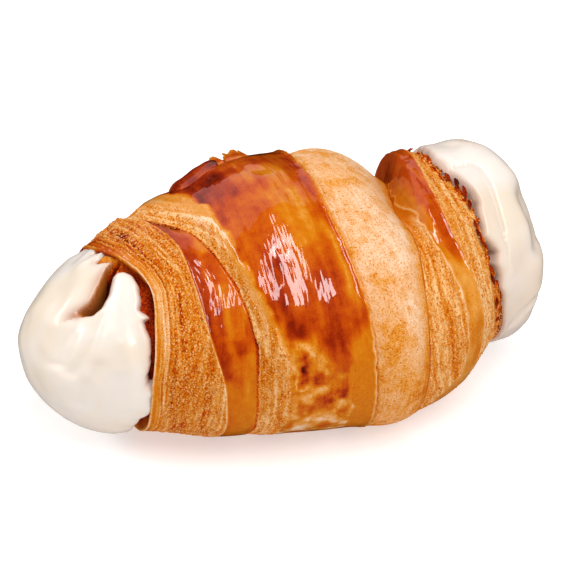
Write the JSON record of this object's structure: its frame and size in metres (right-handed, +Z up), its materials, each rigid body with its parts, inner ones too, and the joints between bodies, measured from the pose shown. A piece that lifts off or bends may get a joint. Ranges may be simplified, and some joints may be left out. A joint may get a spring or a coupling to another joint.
{
  "type": "white chocolate croissant",
  "caption": "Rolled croissant of laminated dough, slightly bent, with overlapping coils and both ends dipped in white chocolate.",
  "frame": {"origin": "middle of the footprint, on the surface that the croissant rests on", "axes": "+X along the roll from the end with the open spiral to the other end, -Y towards the convex side of the bend, +Z up"},
  "size_m": [0.1418, 0.0832, 0.0674],
  "materials": {
    "pastry_crust": "baked laminated dough, golden brown, egg-washed and syrup-glazed where it is dark",
    "white_chocolate": "set white chocolate, smooth and softly glossy ivory"
  },
  "bodies": {
    "root": {"pastry": "pastry_crust", "white_chocolate_left": "white_chocolate", "white_chocolate_right": "white_chocolate"}
  },
  "joints": []
}
